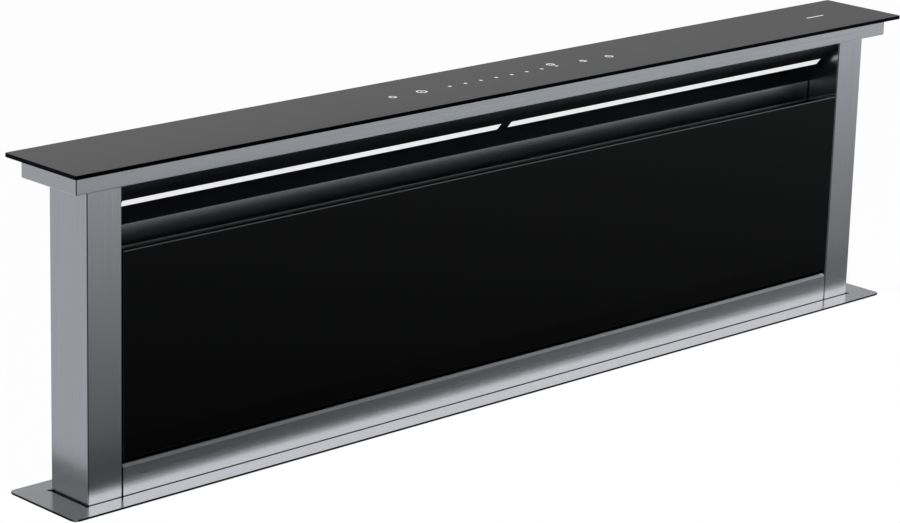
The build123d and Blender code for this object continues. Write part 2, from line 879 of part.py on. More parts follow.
def lift_motor():
    """Tubular gear motor's motor, hanging under the gearbox."""
    top = shaft_z - drive_motor_drop
    r = drive_motor_radius
    low = top - drive_motor_length
    profile = [(0, top), (r, top), (r, low + 4), (r - 3, low), (7, low), (7, low - 5), (0, low - 5)]
    return Pos(gearbox_x, shaft_offset - worm_offset, 0) * revolve(Plane.XZ * filled(profile), Axis.Z)


def limit_switches():
    """Two switches on the rear wall that stop the lift, each with its lever."""
    x0 = inner_x + switch_inset
    x1 = x0 + switch_length
    front = wall_in_y - switch_depth
    half = switch_height / 2
    tip = front - lever_throw
    lever = [(x0 + 2, front), (x1 - 2, front), (x1 - 3, tip), (x0 + 3, (front + tip) / 2)]
    switches = []
    for z in (-switch_upper, leg_bottom + switch_lower):
        body = block(x0, x1, front, wall_in_y, z - half, z + half)
        arm = along_z(filled(lever), z - lever_height / 2, z + lever_height / 2)
        switches.append(body + arm)
    return switches


# ---------------------------------------------------------------- blower
wall_front = -chassis_half_y
scroll_front = wall_front - scroll_width


def scroll_outline(extra=0.0):
    """The scroll's outline: four arcs about the corners of a square, and a straight throat towards +X."""
    half = scroll_step / 2
    corners = [(half, -half), (-half, -half), (-half, half), (half, half)]
    spiral = []
    for i, (x, z) in enumerate(corners):
        radius = scroll_first + scroll_step * i
        start = -90 * (i - 1) if i else scroll_tongue
        sweep = -90 if i else -scroll_tongue
        spiral.append(CenterArc((blower_x + x, blower_z + z), radius, start, sweep))
    tongue = spiral[0] @ 0
    top = spiral[-1] @ 1
    end_x = blower_x + throat_length
    roof = Line(top, (end_x, top.Y))
    end = Line((end_x, top.Y), (end_x, tongue.Y))
    floor = Line((end_x, tongue.Y), tongue)
    space = make_face(spiral + [roof, end, floor])
    space = fillet(space.vertices().sort_by_distance(tongue)[0], scroll_nose)
    return offset(space, extra, kind=Kind.INTERSECTION) if extra else space


def throat_box():
    """Low and high limits of the throat's clear mouth in Y, then in Z."""
    half = scroll_step / 2
    low = blower_z - half + scroll_first * math.sin(math.radians(scroll_tongue))
    high = blower_z + half + scroll_first + 3 * scroll_step
    return (scroll_front + scroll_wall, wall_front - scroll_wall, low, high)


def blower_scroll():
    """Scroll wall with its inlet cheek against the chassis."""
    body = along_y(scroll_outline(scroll_wall), scroll_front + scroll_wall, wall_front)
    space = along_y(scroll_outline(), scroll_front - 1, wall_front - scroll_wall)
    y0, y1, z0, z1 = throat_box()
    mouth = block(blower_x + throat_length - 5, blower_x + throat_length + 5, y0, y1, z0, z1)
    inlet = disc_y(inlet_hole_radius, blower_x, blower_z, wall_front - 5, wall_front + 5)
    return body - space - mouth - inlet


def blower_cover():
    """Outer cheek of the scroll, which carries the motor."""
    back = scroll_front + scroll_wall
    plate = along_y(scroll_outline(scroll_wall), scroll_front, back)
    return plate - disc_y(rotor_shaft + motor_hole_gap, blower_x, blower_z, scroll_front - 1, back + 1)


def inlet_ring():
    """Flared ring seated inside the chassis wall, which leads the air into the impeller's eye."""
    r = inlet_radius + scroll_wall / 2
    seat = chassis_sheet + scroll_wall / 2
    low = seat - inlet_bend - inlet_neck
    wide = r + inlet_bend + inlet_lip
    path = Polyline((r, low), (r, seat - inlet_bend), (r + inlet_bend, seat), (wide, seat))
    ring = revolve(Plane.XZ * trace(path, line_width=scroll_wall), Axis.Z)
    return Pos(blower_x, wall_front, blower_z) * Rot(-90, 0, 0) * ring


def impeller():
    """Forward-curved impeller: backplate, blades and front ring round an open eye."""
    y0 = wall_front - impeller_gap - impeller_width
    y1 = y0 + impeller_width
    plate = disc_y(impeller_radius, 0, 0, y0, y0 + impeller_plate)
    ring = disc_y(impeller_radius, 0, 0, y1 - impeller_ring, y1)
    ring -= disc_y(impeller_inner, 0, 0, y1 - impeller_ring - 1, y1 + 1)
    hub = disc_y(hub_radius, 0, 0, y0 - hub_back, y0 + hub_front)
    wheel = plate + ring + hub
    mid = (impeller_inner + impeller_radius) / 2
    tip = impeller_radius - blade_tip_gap
    bent = Polyline((impeller_inner + blade_root_gap, 0), (mid, blade_belly), (tip, blade_sweep))
    section = trace(bent, line_width=blade_sheet)
    blade = along_y(section, y0 + impeller_plate - 0.5, y1 - impeller_ring + 0.5)
    wheel += [Rot(0, 360 * i / blade_count, 0) * blade for i in range(blade_count)]
    wheel = Pos(blower_x, 0, blower_z) * wheel
    return wheel - disc_y(rotor_shaft, blower_x, blower_z, y0 - hub_back - 1, y0 + hub_front + 1)


def motor_parts():
    """Motor body on the outer cheek, and the shaft that the impeller sits on."""
    back = scroll_front + scroll_wall
    r = motor_radius
    bore = rotor_shaft + bearing_clearance
    profile = [
        (bore, 0), (r, 0), (r, motor_length - motor_shoulder), (r - motor_shoulder, motor_length),
        (bore, motor_length),
    ]
    body = revolve(Plane.XZ * filled(profile), Axis.Z)
    body = Pos(blower_x, back, blower_z) * Rot(-90, 0, 0) * body
    for i in range(3):
        a = math.radians(90 + 120 * i)
        reach = r - 2 * motor_boss
        x = blower_x + reach * math.cos(a)
        z = blower_z + reach * math.sin(a)
        body += along_y(Pos(x, z) * RegularPolygon(motor_boss, 6), back, back + motor_boss_height)
    y0 = wall_front - impeller_gap - impeller_width
    shaft = disc_y(rotor_shaft, blower_x, blower_z, back + motor_boss_height, y0 + hub_front)
    return body, shaft


spigot_y = wall_front - spigot_back
spigot_z = (throat_box()[2] + throat_box()[3]) / 2
taper_x = blower_x + throat_length + scroll_wall
spigot_x = taper_x + taper_length


def outlet_duct():
    """Square-to-round piece with the round spigot for the air hose."""
    y0, y1, z0, z1 = throat_box()
    t = spigot_wall
    cy = (y0 + y1) / 2
    cz = (z0 + z1) / 2
    square = Plane((taper_x, cy, cz), x_dir=(0, 1, 0), z_dir=(1, 0, 0))
    circle = Plane((spigot_x, spigot_y, spigot_z), x_dir=(0, 1, 0), z_dir=(1, 0, 0))
    skin = loft([
        square * RectangleRounded(y1 - y0 + 2 * t, z1 - z0 + 2 * t, throat_corner + t),
        circle * Circle(spigot_radius),
    ])
    core = loft([
        square * RectangleRounded(y1 - y0, z1 - z0, throat_corner),
        circle * Circle(spigot_radius - t),
    ])
    rim = block(taper_x, taper_x + 2, y0 - throat_rim, wall_front, z0 - throat_rim, z1 + throat_rim)
    rim -= extrude(square * RectangleRounded(y1 - y0, z1 - z0, throat_corner), 3.0)
    tube = circle * Circle(spigot_radius) - circle * Circle(spigot_radius - t)
    tube = extrude(tube, spigot_length)
    return (skin - core) + rim + tube


def flap_pin_node():
    """Upright pin across the spigot that carries both flaps."""
    x = spigot_x + flap_station
    reach = math.sqrt((spigot_radius - spigot_wall) ** 2 - flap_pin**2)
    return along_z(Pos(x, spigot_y) * Circle(flap_pin), spigot_z - reach, spigot_z + reach)


def flap(side):
    """One half of the non-return flap, with its knuckles round the pin."""
    x = spigot_x + flap_station
    reach = spigot_radius - spigot_wall - flap_gap
    half = Circle(reach) & Pos(side * (reach / 2 + flap_knuckle + 0.8), 0) * Rectangle(reach, 2 * reach)
    section = Plane((x - flap_sheet / 2, spigot_y, spigot_z), x_dir=(0, 1, 0), z_dir=(1, 0, 0)) * half
    leaf = extrude(section, flap_sheet)
    for n in range(2):
        low = spigot_z + knuckle_pitch * (2 * n - 2 + (side < 0))
        knuckle = Pos(x, spigot_y) * Circle(flap_knuckle)
        arm = Pos(x, spigot_y + side * (flap_knuckle + 0.8) / 2) * Rectangle(flap_sheet, flap_knuckle + 1.6)
        leaf += along_z(knuckle + arm, low + knuckle_gap, low + knuckle_pitch - knuckle_gap)
        leaf -= along_z(Pos(x, spigot_y) * Circle(flap_pin + flap_pin_gap), low, low + knuckle_pitch)
    return leaf


# ---------------------------------------------------------------- electronics
box_low_z = shaft_z - box_top - box_height
box_high_z = shaft_z - box_top


def electronics_box():
    """Open tray on the chassis front for the supply and the control board."""
    x0 = box_x - box_width / 2
    x1 = box_x + box_width / 2
    y1 = wall_front
    y0 = y1 - box_depth
    t = box_wall
    shell = block(x0, x1, y0 + t, y1, box_low_z, box_high_z)
    shell -= block(x0 + t, x1 - t, y0 - 1, y1 - t, box_low_z + t, box_high_z - t)
    hole = Pos(box_x, (y0 + y1) / 2) * Circle(gland_body - 2)
    return shell - along_z(hole, box_low_z - 1, box_low_z + t + 1)


def electronics_cover():
    """Cover of the electronics box, pressed with a row of vents."""
    x0 = box_x - box_width / 2
    x1 = box_x + box_width / 2
    y0 = wall_front - box_depth
    lid = block(x0, x1, y0, y0 + box_wall, box_low_z, box_high_z)
    for i in range(vent_count):
        place = Pos(x0 + vent_inset + i * vent_pitch, box_high_z - vent_drop)
        vent = place * Rectangle(vent_width, vent_length)
        lid -= along_y(vent, y0 - 1, y0 + box_wall + 1)
    return lid


def control_board():
    """Circuit board on four posts, with a transformer and capacitors."""
    x0 = box_x - box_width / 2 + board_margin
    x1 = box_x + box_width / 2 - board_margin
    y1 = wall_front - box_wall
    back = y1 - board_standoff
    front = back - board_sheet
    z0 = box_low_z + board_rise
    z1 = box_high_z - board_margin
    board = block(x0, x1, front, back, z0, z1)
    for x in (x0 + board_post_inset, x1 - board_post_inset):
        for z in (z0 + board_post_inset, z1 - board_post_inset):
            board += block(x - board_post, x + board_post, back, y1, z - board_post, z + board_post)
    x = x0 + transformer_inset
    z = z0 + transformer_rise
    board += block(x, x + transformer_width, front - transformer_depth, front, z, z + transformer_height)
    for i in range(3):
        x = x0 + capacitor_inset + i * capacitor_pitch
        board += disc_y(capacitor_radius, x, z0 + capacitor_rise, front - capacitor_length, front)
    x = x1 - heat_sink_inset
    z = z0 + heat_sink_inset
    board += block(x - heat_sink_width, x, front - heat_sink_depth, front, z, z1 - heat_sink_inset)
    return board


def mains_gland():
    """Screwed cable gland in the box's floor, left without its cable."""
    y = wall_front - box_depth / 2
    top = box_low_z + box_wall
    high = top + gland_inner
    low = box_low_z - gland_length
    r = gland_body
    b = gland_bore
    collar = box_low_z - gland_collar
    profile = [
        (b, high), (gland_neck, high), (gland_neck, collar), (r, collar), (r, low + gland_dome),
        (r - 3, low), (b, low),
    ]
    body = Pos(box_x, y, 0) * revolve(Plane.XZ * filled(profile), Axis.Z)
    for z0, z1 in ((top, top + gland_nut_height), (collar, box_low_z)):
        nut = along_z(Pos(box_x, y) * RegularPolygon(gland_nut, 6), z0, z1)
        body += nut - along_z(Pos(box_x, y) * Circle(gland_neck), z0, z1)
    return body


# ---------------------------------------------------------------- clamps and screws
def worktop_clamps():
    """Four angle brackets on the chassis's sides that pull the flange down."""
    t = clamp_sheet
    low = -clamp_drop
    x0 = chassis_half_x
    x1 = chassis_half_x + clamp_arm
    high = low + clamp_rise
    section = filled([(x0, low), (x1, low), (x1, low + t), (x0 + t, low + t), (x0 + t, high), (x0, high)])
    angle = along_y(section, -clamp_width / 2, clamp_width / 2)
    angle -= along_z(Pos(chassis_half_x + clamp_reach, 0) * Circle(clamp_screw), low - 1, low + t + 1)
    clamps = []
    for y in (-clamp_y, clamp_y):
        clamps += both_sides(Pos(0, y, 0) * angle)
    return clamps


def clamp_screws():
    """Hexagon screws with square pads that press up against the worktop's underside."""
    low = -clamp_drop - clamp_screw_low
    high = -clamp_drop + clamp_screw_high
    head = along_z(RegularPolygon(clamp_head, 6), low, low + clamp_pad_height)
    shank = along_z(Circle(clamp_screw), low + clamp_pad_height, high - clamp_pad_height)
    pad = along_z(Rectangle(2 * clamp_pad, 2 * clamp_pad), high - clamp_pad_height, high)
    screw = Pos(chassis_half_x + clamp_reach, 0, 0) * (head + shank + pad)
    screws = []
    for y in (-clamp_y, clamp_y):
        screws += both_sides(Pos(0, y, 0) * screw)
    return screws


def hexagon_head(radius, height):
    """A low hexagon screw head on the XY plane."""
    return along_z(RegularPolygon(radius, 6), 0, height)


def tower_screws():
    """Screw heads along the rear panel's edges."""
    head = hexagon_head(tower_screw_head, tower_screw_height)
    screws = []
    for z in (flange_top + 24, (flange_top + tray_bottom) / 2, tray_bottom - 22):
        spot = Pos(duct_in_x - 10, half_d, z) * Rot(-90, 0, 0) * head
        screws += both_sides(spot)
    return screws


def chassis_screws():
    """Screw heads that hold the chassis walls, the blower and the box."""
    head = hexagon_head(chassis_screw_head, chassis_screw_height)
    front = Rot(90, 0, 0) * head
    screws = []
    for z in (-22.0, (chassis_top + chassis_bottom) / 2, chassis_bottom + 40):
        for y in (-chassis_half_y + screw_inset, chassis_half_y - screw_inset):
            screws += both_sides(Pos(chassis_half_x, y, z) * Rot(0, 90, 0) * head)
    y0 = wall_front - box_depth
    reach = box_width / 2 - screw_inset
    for x in (box_x - reach, box_x + reach):
        for z in (box_low_z + screw_inset, box_high_z - screw_inset):
            screws.append(Pos(x, y0, z) * front)
    for i in range(cover_screw_count):
        a = math.radians(20 - 48 * i)
        x = blower_x + (motor_radius + 30) * math.cos(a)
        z = blower_z + (motor_radius + 30) * math.sin(a)
        screws.append(Pos(x, scroll_front, z) * front)
    return screws


# ---------------------------------------------------------------- write every node
os.makedirs("parts", exist_ok=True)

save("worktop_flange", worktop_flange())
save("worktop_seal", worktop_seal())

inlet_hole = disc_y(inlet_hole_radius, blower_x, blower_z, wall_front - 5, wall_front + 5)
save("chassis_front_panel", chassis_panel(-1, inlet_hole))
save("chassis_rear_panel", chassis_panel(1))
right_side, left_side = both_sides(chassis_side())
save("chassis_side_right", right_side)
save("chassis_side_left", left_side)
save("chassis_floor", chassis_floor())
save("foot_rail_right", foot_rail(chassis_half_x - foot_inset))
save("foot_rail_left", foot_rail(foot_inset - chassis_half_x))

for name, shape in {
    "column": column(),
    "duct_side": duct_side(),
    "rack": rack(),
    "shaft_bearing": shaft_bearing(),
    "guide_rail": guide_rail(),
}.items():
    right, left = both_sides(shape)
    save(f"{name}_right", right)
    save(f"{name}_left", left)

slider_pair = sliders()
save("sliders_right", slider_pair)
save("sliders_left", [mirror(s, about=Plane.YZ) for s in slider_pair])

save("tower_rear_panel", tower_rear_panel())
save("lower_trim", lower_trim())
save("top_tray", top_tray())
save("glass_top", glass_top())
save("touch_board", touch_board())
save("led_fascia", led_fascia())
save("led_diffuser_right", led_diffuser(1))
save("led_diffuser_left", led_diffuser(-1))
save("led_boards", [led_board(1), led_board(-1)])
save("air_baffle", air_baffle())
save("grease_filter_right", grease_filter(1))
save("grease_filter_left", grease_filter(-1))
save("panel_catches", panel_catches())
save("tower_screws", tower_screws())

save("front_glass", front_glass())
save("front_panel_frame", front_panel_frame())
save("panel_pins", panel_pins())

save("sync_shaft", sync_shaft())
save("pinions", both_sides(pinion()))
save("lift_gearbox", lift_gearbox())
save("lift_motor", lift_motor())
save("limit_switches", limit_switches())

save("blower_scroll", blower_scroll())
save("blower_cover", blower_cover())
save("inlet_ring", inlet_ring())
save("impeller", impeller())
motor_body, motor_shaft = motor_parts()
save("blower_motor", motor_body)
save("motor_shaft", motor_shaft)
save("outlet_duct", outlet_duct())
save("flap_pin", flap_pin_node())
save("flap_rear", flap(1))
save("flap_front", flap(-1))

save("electronics_box", electronics_box())
save("electronics_cover", electronics_cover())
save("control_board", control_board())
save("mains_gland", mains_gland())
save("worktop_clamps", worktop_clamps())
save("clamp_screws", clamp_screws())
save("chassis_screws", chassis_screws())
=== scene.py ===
import math

import bmesh
import bpy
from mathutils import Euler, Matrix, Vector


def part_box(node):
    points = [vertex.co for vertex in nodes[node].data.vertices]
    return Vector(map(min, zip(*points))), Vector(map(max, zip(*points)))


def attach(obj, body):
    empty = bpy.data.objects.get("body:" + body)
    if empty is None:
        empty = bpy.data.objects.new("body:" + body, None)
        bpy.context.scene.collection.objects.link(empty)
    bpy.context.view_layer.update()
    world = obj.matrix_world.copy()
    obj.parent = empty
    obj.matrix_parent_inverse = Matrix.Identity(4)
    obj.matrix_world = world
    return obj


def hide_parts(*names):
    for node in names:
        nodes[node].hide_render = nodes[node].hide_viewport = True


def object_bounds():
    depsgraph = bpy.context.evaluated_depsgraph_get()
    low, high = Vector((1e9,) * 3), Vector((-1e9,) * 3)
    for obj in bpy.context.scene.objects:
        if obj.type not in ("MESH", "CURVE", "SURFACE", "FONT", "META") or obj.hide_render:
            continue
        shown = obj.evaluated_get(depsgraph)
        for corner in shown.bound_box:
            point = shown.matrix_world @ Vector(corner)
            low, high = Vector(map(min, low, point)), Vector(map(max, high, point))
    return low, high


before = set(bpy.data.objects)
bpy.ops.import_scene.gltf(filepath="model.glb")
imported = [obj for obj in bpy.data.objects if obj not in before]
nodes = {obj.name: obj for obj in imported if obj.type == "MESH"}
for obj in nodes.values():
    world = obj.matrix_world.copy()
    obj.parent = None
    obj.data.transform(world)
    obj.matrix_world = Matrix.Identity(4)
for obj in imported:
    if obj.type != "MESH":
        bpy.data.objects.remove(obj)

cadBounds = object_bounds()
print("frame loaded:", len(nodes), "nodes")


# ---- helpers
def colour(hexCode, share=1.0):
    # sRGB hex to linear, made darker or lighter by share
    parts = [int(hexCode[i:i + 2], 16) / 255 for i in (1, 3, 5)]
    linear = [c / 12.92 if c <= 0.04045 else ((c + 0.055) / 1.055) ** 2.4 for c in parts]
    return [min(1.0, c * share) for c in linear] + [1.0]


def addNode(tree, kind, settings=None, links=None):
    node = tree.nodes.new(kind)
    for key, value in (settings or {}).items():
        if key == "stops":
            for element, (place, shade) in zip(node.color_ramp.elements, value):
                element.position = place
                element.color = shade
        elif isinstance(key, int) or key in node.inputs:
            node.inputs[key].default_value = value
        else:
            setattr(node, key, value)
    for key, source in (links or {}).items():
        tree.links.new(source, node.inputs[key])
    return node


def newMaterial(name):
    material = bpy.data.materials.new(name)
    material.use_nodes = True
    material.node_tree.nodes.clear()
    return material, material.node_tree


def finishMaterial(tree, shader):
    addNode(tree, "ShaderNodeOutputMaterial", links={"Surface": shader.outputs[0]})


def perMetre(millimetres):
    return 1000.0 / millimetres


noiseLow = 0.3  # most of a noise's values lie from here
noiseHigh = 0.7  # to here
noiseRoughness = 0.55


def overNoise(first, second):
    # two colours as the stops of a ramp that a noise drives
    return [(noiseLow, first), (noiseHigh, second)]


def objectAxes(tree):
    # a point's X, Y and Z on the piece, in metres
    place = addNode(tree, "ShaderNodeTexCoord")
    return addNode(tree, "ShaderNodeSeparateXYZ", links={"Vector": place.outputs["Object"]}).outputs


def stretchedNoise(tree, scale, detail=3.0, seed=(0.0, 0.0, 0.0)):
    # scale is in features per metre along X, Y and Z
    place = addNode(tree, "ShaderNodeTexCoord")
    spread = addNode(tree, "ShaderNodeMapping", {"Scale": scale, "Location": seed},
                     {"Vector": place.outputs["Object"]})
    noise = addNode(tree, "ShaderNodeTexNoise", {
        "Scale": 1.0, "Detail": detail, "Roughness": noiseRoughness}, {"Vector": spread.outputs[0]})
    return noise.outputs["Fac"]


def meshObject(name, bm, material):
    mesh = bpy.data.meshes.new(name)
    bm.to_mesh(mesh)
    bm.free()
    mesh.materials.append(material)
    item = bpy.data.objects.new(name, mesh)
    bpy.context.scene.collection.objects.link(item)
    return item


# ---- camera, as the photograph was taken
cameraSet = {
    "place": (-2.30497, -2.31815, 1.08576),
    "turn": (73.7606, -1.5554, -43.5856),  # degrees
    "lens": 129.19,
    "sensor": 36.0,
    "near": 0.01,
    "far": 60.0,
}


def makeCamera(s):
    data = bpy.data.cameras.new("camera")
    data.sensor_width = s["sensor"]
    data.lens = s["lens"]
    data.clip_start = s["near"]
    data.clip_end = s["far"]
    camera = bpy.data.objects.new("camera", data)
    bpy.context.scene.collection.objects.link(camera)
    camera.location = s["place"]
    camera.rotation_euler = Euler([math.radians(a) for a in s["turn"]], "XYZ")
    bpy.context.scene.camera = camera


makeCamera(cameraSet)
bpy.context.scene.view_settings.view_transform = "Standard"
print("camera set")


# ---- studio: floor, lamp, and the cards that the steel and glass mirror
studioSet = {
    "floorSize": 40.0,
    "floorGap": 0.0005,  # between the feet and the floor
    "floorGlow": 0.88,
    "floorBounce": "#d0d0d0",  # what the floor gives back to the object
    "skyLight": 0.85,  # how much of its white the world lights the object with
    "leastGrey": 0.05,  # no card is darker
    "cardTint": "#f5f9fd",  # faintly blue, so that the steel looks cool
    "glassTint": "#ffffff",  # of the card that the glass cap mirrors
    "lensCardReach": 0.0045,  # part of the way from the lens to the worktop
    "hiddenBy": [  # outline on the worktop, in metres, of what the lens card covers
        (-0.5905, 0.047), (-0.5905, -0.0455), (-0.5889, -0.0502), (-0.5840, -0.0521),
        (0.5905, -0.0521), (0.68, -0.10), (0.0, -0.66), (-0.78, -0.06), (-0.66, 0.047),
    ],
}

lampSet = {
    "power": 26.0,  # watts
    "width": 2.4,
    "depth": 1.6,
    "place": (1.6, -2.2, 2.6),
    "aim": (0.0, 0.0, 0.1),
}

# cards that show in reflections alone: x from, to, y from, to, height, grey at the origin, its rise per
# metre along X and along Y
cardSet = {
    "frontNearCard": (-0.592, 2.6, -0.17, -0.066, -0.004, 0.076, 0.0745, -0.20),
    "frontCard": (-0.592, 2.6, -2.2, -0.17, -0.004, 0.100, 0.0745, -0.212),
    "cornerCard": (-2.6, -0.592, -2.2, -0.062, -0.004, 0.08, 0.0, 0.0),
    "sideNearCard": (-0.629, -0.592, -0.062, 2.4, -0.004, 0.165, 0.0, 0.0),
    "sideRearCard": (-0.592, -0.552, 0.0535, 0.7, -0.004, 0.17, 0.0, 0.0),
    "sideCard": (-2.6, -0.629, -0.067, 2.4, -0.004, 0.45, 0.0, 0.0),
    "flangeCard": (0.6, 7.5, 1.6, 3.65, 1.6, 0.17, 0.040, 0.0),
    "glassCard": (0.6, 7.5, 3.65, 7.5, 1.6, 0.685, -0.0534, 0.0),
    "bevelCard": (0.5, 4.2, -2.2, -0.3, 2.2, 0.03, 0.09, 0.0),
}
# upright ones: x from, to, y, z from, to, grey
uprightSet = {
    "leftBackCard": (-4.6, -1.0, 2.3, -0.3, 2.6, 0.19),
    "horizonCard": (-2.0, 11.0, 7.4, -0.7, 1.6, 0.22),
}


def makePlane(name, x0, x1, y0, y1, z, material):
    bm = bmesh.new()
    bmesh.ops.create_grid(bm, x_segments=1, y_segments=1, size=0.5)
    bmesh.ops.scale(bm, vec=(x1 - x0, y1 - y0, 1), verts=bm.verts)
    bmesh.ops.translate(bm, vec=((x0 + x1) / 2, (y0 + y1) / 2, z), verts=bm.verts)
    return meshObject(name, bm, material)


def seenOrMirrored(tree, path):
    # 1 for what the camera sees, by itself or mirrored, else 0
    return addNode(tree, "ShaderNodeMath", {"operation": "MAXIMUM"},
                   {0: path["Is Camera Ray"], 1: path["Is Glossy Ray"]}).outputs[0]


def floorMaterial(s):
    # matt white sweep: mostly its own white, with a little of the light so that a shadow stays
    material, tree = newMaterial("studio floor")
    matt = addNode(tree, "ShaderNodeBsdfDiffuse", {"Color": colour("#ffffff")})
    glow = addNode(tree, "ShaderNodeEmission", {"Color": colour("#ffffff"), "Strength": 1.0})
    white = addNode(tree, "ShaderNodeMixShader", {"Fac": s["floorGlow"]},
                    {1: matt.outputs[0], 2: glow.outputs[0]})
    plain = addNode(tree, "ShaderNodeBsdfDiffuse", {"Color": colour(s["floorBounce"])})
    seen = seenOrMirrored(tree, addNode(tree, "ShaderNodeLightPath").outputs)
    finishMaterial(tree, addNode(tree, "ShaderNodeMixShader", links={
        "Fac": seen, 1: plain.outputs[0], 2: white.outputs[0]}))
    return material


def cardMaterial(name, s, start, riseX=0.0, riseY=0.0):
    # a card whose grey changes evenly across it
    material, tree = newMaterial(name)
    axes = objectAxes(tree)
    alongX = addNode(tree, "ShaderNodeMath", {"operation": "MULTIPLY_ADD", 1: riseX, 2: start},
                     {0: axes["X"]})
    alongY = addNode(tree, "ShaderNodeMath", {"operation": "MULTIPLY_ADD", 1: riseY},
                     {0: axes["Y"], 2: alongX.outputs[0]})
    grey = addNode(tree, "ShaderNodeMath", {"operation": "MAXIMUM", 1: s["leastGrey"]},
                   {0: alongY.outputs[0]})
    tint = s["glassTint"] if name == "glassCard" else s["cardTint"]
    finishMaterial(tree, addNode(tree, "ShaderNodeEmission", {"Color": colour(tint)},
                                 {"Strength": grey.outputs[0]}))
    return material


def makeCards(s):
    cards = []
    for name, (x0, x1, y0, y1, z, *shade) in cardSet.items():
        cards.append(makePlane(name, x0, x1, y0, y1, z, cardMaterial(name, s, *shade)))
    for name, (x0, x1, y, z0, z1, grey) in uprightSet.items():
        item = makePlane(name, x0, x1, z0, z1, 0.0, cardMaterial(name, s, grey))
        item.data.transform(Matrix.Translation((0, y, 0)) @ Matrix.Rotation(math.radians(90), 4, "X"))
        cards.append(item)
    for item in cards:
        item.visible_camera = False
        item.visible_diffuse = False
        item.visible_shadow = False
        item.visible_transmission = False
        item.visible_volume_scatter = False
    return cards


def makeLensCard(s):
    # what the worktop hides in the photograph lies behind a small card in front of the lens
    lens = Vector(cameraSet["place"])
    bm = bmesh.new()
    corners = [lens.lerp(Vector((x, y, 0.0)), s["lensCardReach"]) for x, y in s["hiddenBy"]]
    bm.faces.new([bm.verts.new(corner) for corner in corners])
    bmesh.ops.triangulate(bm, faces=bm.faces)
    white, tree = newMaterial("lens card")
    finishMaterial(tree, addNode(tree, "ShaderNodeEmission", {"Color": colour("#ffffff"), "Strength": 1.0}))
    card = meshObject("lensCard", bm, white)
    card.visible_glossy = False
    card.visible_diffuse = False
    card.visible_shadow = False
    card.visible_transmission = False
    return card


def makeWorld(s):
    world = bpy.data.worlds.new("studio")
    bpy.context.scene.world = world
    world.use_nodes = True
    tree = world.node_tree
    tree.nodes.clear()
    path = addNode(tree, "ShaderNodeLightPath").outputs
    seen = seenOrMirrored(tree, path)
    through = addNode(tree, "ShaderNodeMath", {"operation": "MAXIMUM"},
                      {0: seen, 1: path["Is Transmission Ray"]})
    level = addNode(tree, "ShaderNodeMapRange", {"To Min": s["skyLight"], "To Max": 1.0},
                    {"Value": through.outputs[0]})
    sky = addNode(tree, "ShaderNodeBackground", {"Color": colour("#ffffff")},
                  {"Strength": level.outputs[0]})
    addNode(tree, "ShaderNodeOutputWorld", links={"Surface": sky.outputs[0]})


def makeLamp(s):
    lamp = bpy.data.lights.new("softbox", "AREA")
    lamp.shape = "RECTANGLE"
    lamp.size = s["width"]
    lamp.size_y = s["depth"]
    lamp.energy = s["power"]
    box = bpy.data.objects.new("softbox", lamp)
    bpy.context.scene.collection.objects.link(box)
    box.location = s["place"]
    box.rotation_euler = (Vector(s["aim"]) - box.location).to_track_quat("-Z", "Y").to_euler()
    box.visible_glossy = False


reach = studioSet["floorSize"] / 2
floor = makePlane("studioFloor", -reach, reach, -reach, reach, cadBounds[0][2] - studioSet["floorGap"],
                  floorMaterial(studioSet))
cards = makeCards(studioSet)
card = makeLensCard(studioSet)
makeWorld(studioSet)
makeLamp(lampSet)
print("studio set:", len(cards), "cards")


# ---- finishes
# AISI 304 sheet, belt-brushed: long fine scratches that blur what it mirrors along one way
brushedSet = {
    "steel": "#dddee1",
    "streak": 0.9,  # mm across; the real scratches are 0.1 mm and would not show
    "length": 190.0,  # mm
    "contrast": 0.05,
    "roughness": 0.20,
    "glossSpread": 0.015,
    "fine": 3.1,  # how much finer the scratches that tilt the light are
    "fineSeed": (4.1, 2.7, 9.3),
    "scratchBump": 0.09,
    "paintedShade": "#0e0e0f",  # painted shade: near-black laid over the sheared edges and over the side that faces into the duct
    "edgeBand": 0.0005,
    "fold": "#8d8f93",  # painted shade: a darker line along the outer corner of a fold
    "foldBand": 0.0010,
}
ductSet = {**brushedSet, "steel": "#a2a5aa", "roughness": 0.22, "contrast": 0.015, "scratchBump": 0.02}
baffleSet = {**brushedSet, "steel": "#bdc0c5", "roughness": 0.25, "contrast": 0.012, "scratchBump": 0.01}
# the trim's painted shade inside the duct starts this far ahead of the frame's front
trimSet = {**brushedSet, "edgeBand": 0.0011, "shadeBefore": 0.001}
anywhere = 9.0  # metres; wider than any piece
bumpDepth = 0.0002


def sheetBox(*names):
    # middle and half size, along X and Y, of the box round these nodes
    boxes = [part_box(name) for name in names]
    low = [min(box[0][i] for box in boxes) for i in (0, 1)]
    high = [max(box[1][i] for box in boxes) for i in (0, 1)]
    return [(low[i] + high[i]) / 2 for i in (0, 1)], [(high[i] - low[i]) / 2 for i in (0, 1)]


def farFrom(tree, middle, half, both=False):
    # 1 where a point lies further than half from middle along X or Y, or along both, else 0
    axes = objectAxes(tree)
    sides = []
    for i in (0, 1):
        apart = addNode(tree, "ShaderNodeMath", {"operation": "SUBTRACT", 1: middle[i]}, {0: axes[i]})
        size = addNode(tree, "ShaderNodeMath", {"operation": "ABSOLUTE"}, {0: apart.outputs[0]})
        sides.append(addNode(tree, "ShaderNodeMath", {"operation": "GREATER_THAN", 1: half[i]},
                             {0: size.outputs[0]}).outputs[0])
    way = "MINIMUM" if both else "MAXIMUM"
    return addNode(tree, "ShaderNodeMath", {"operation": way}, {0: sides[0], 1: sides[1]}).outputs[0]


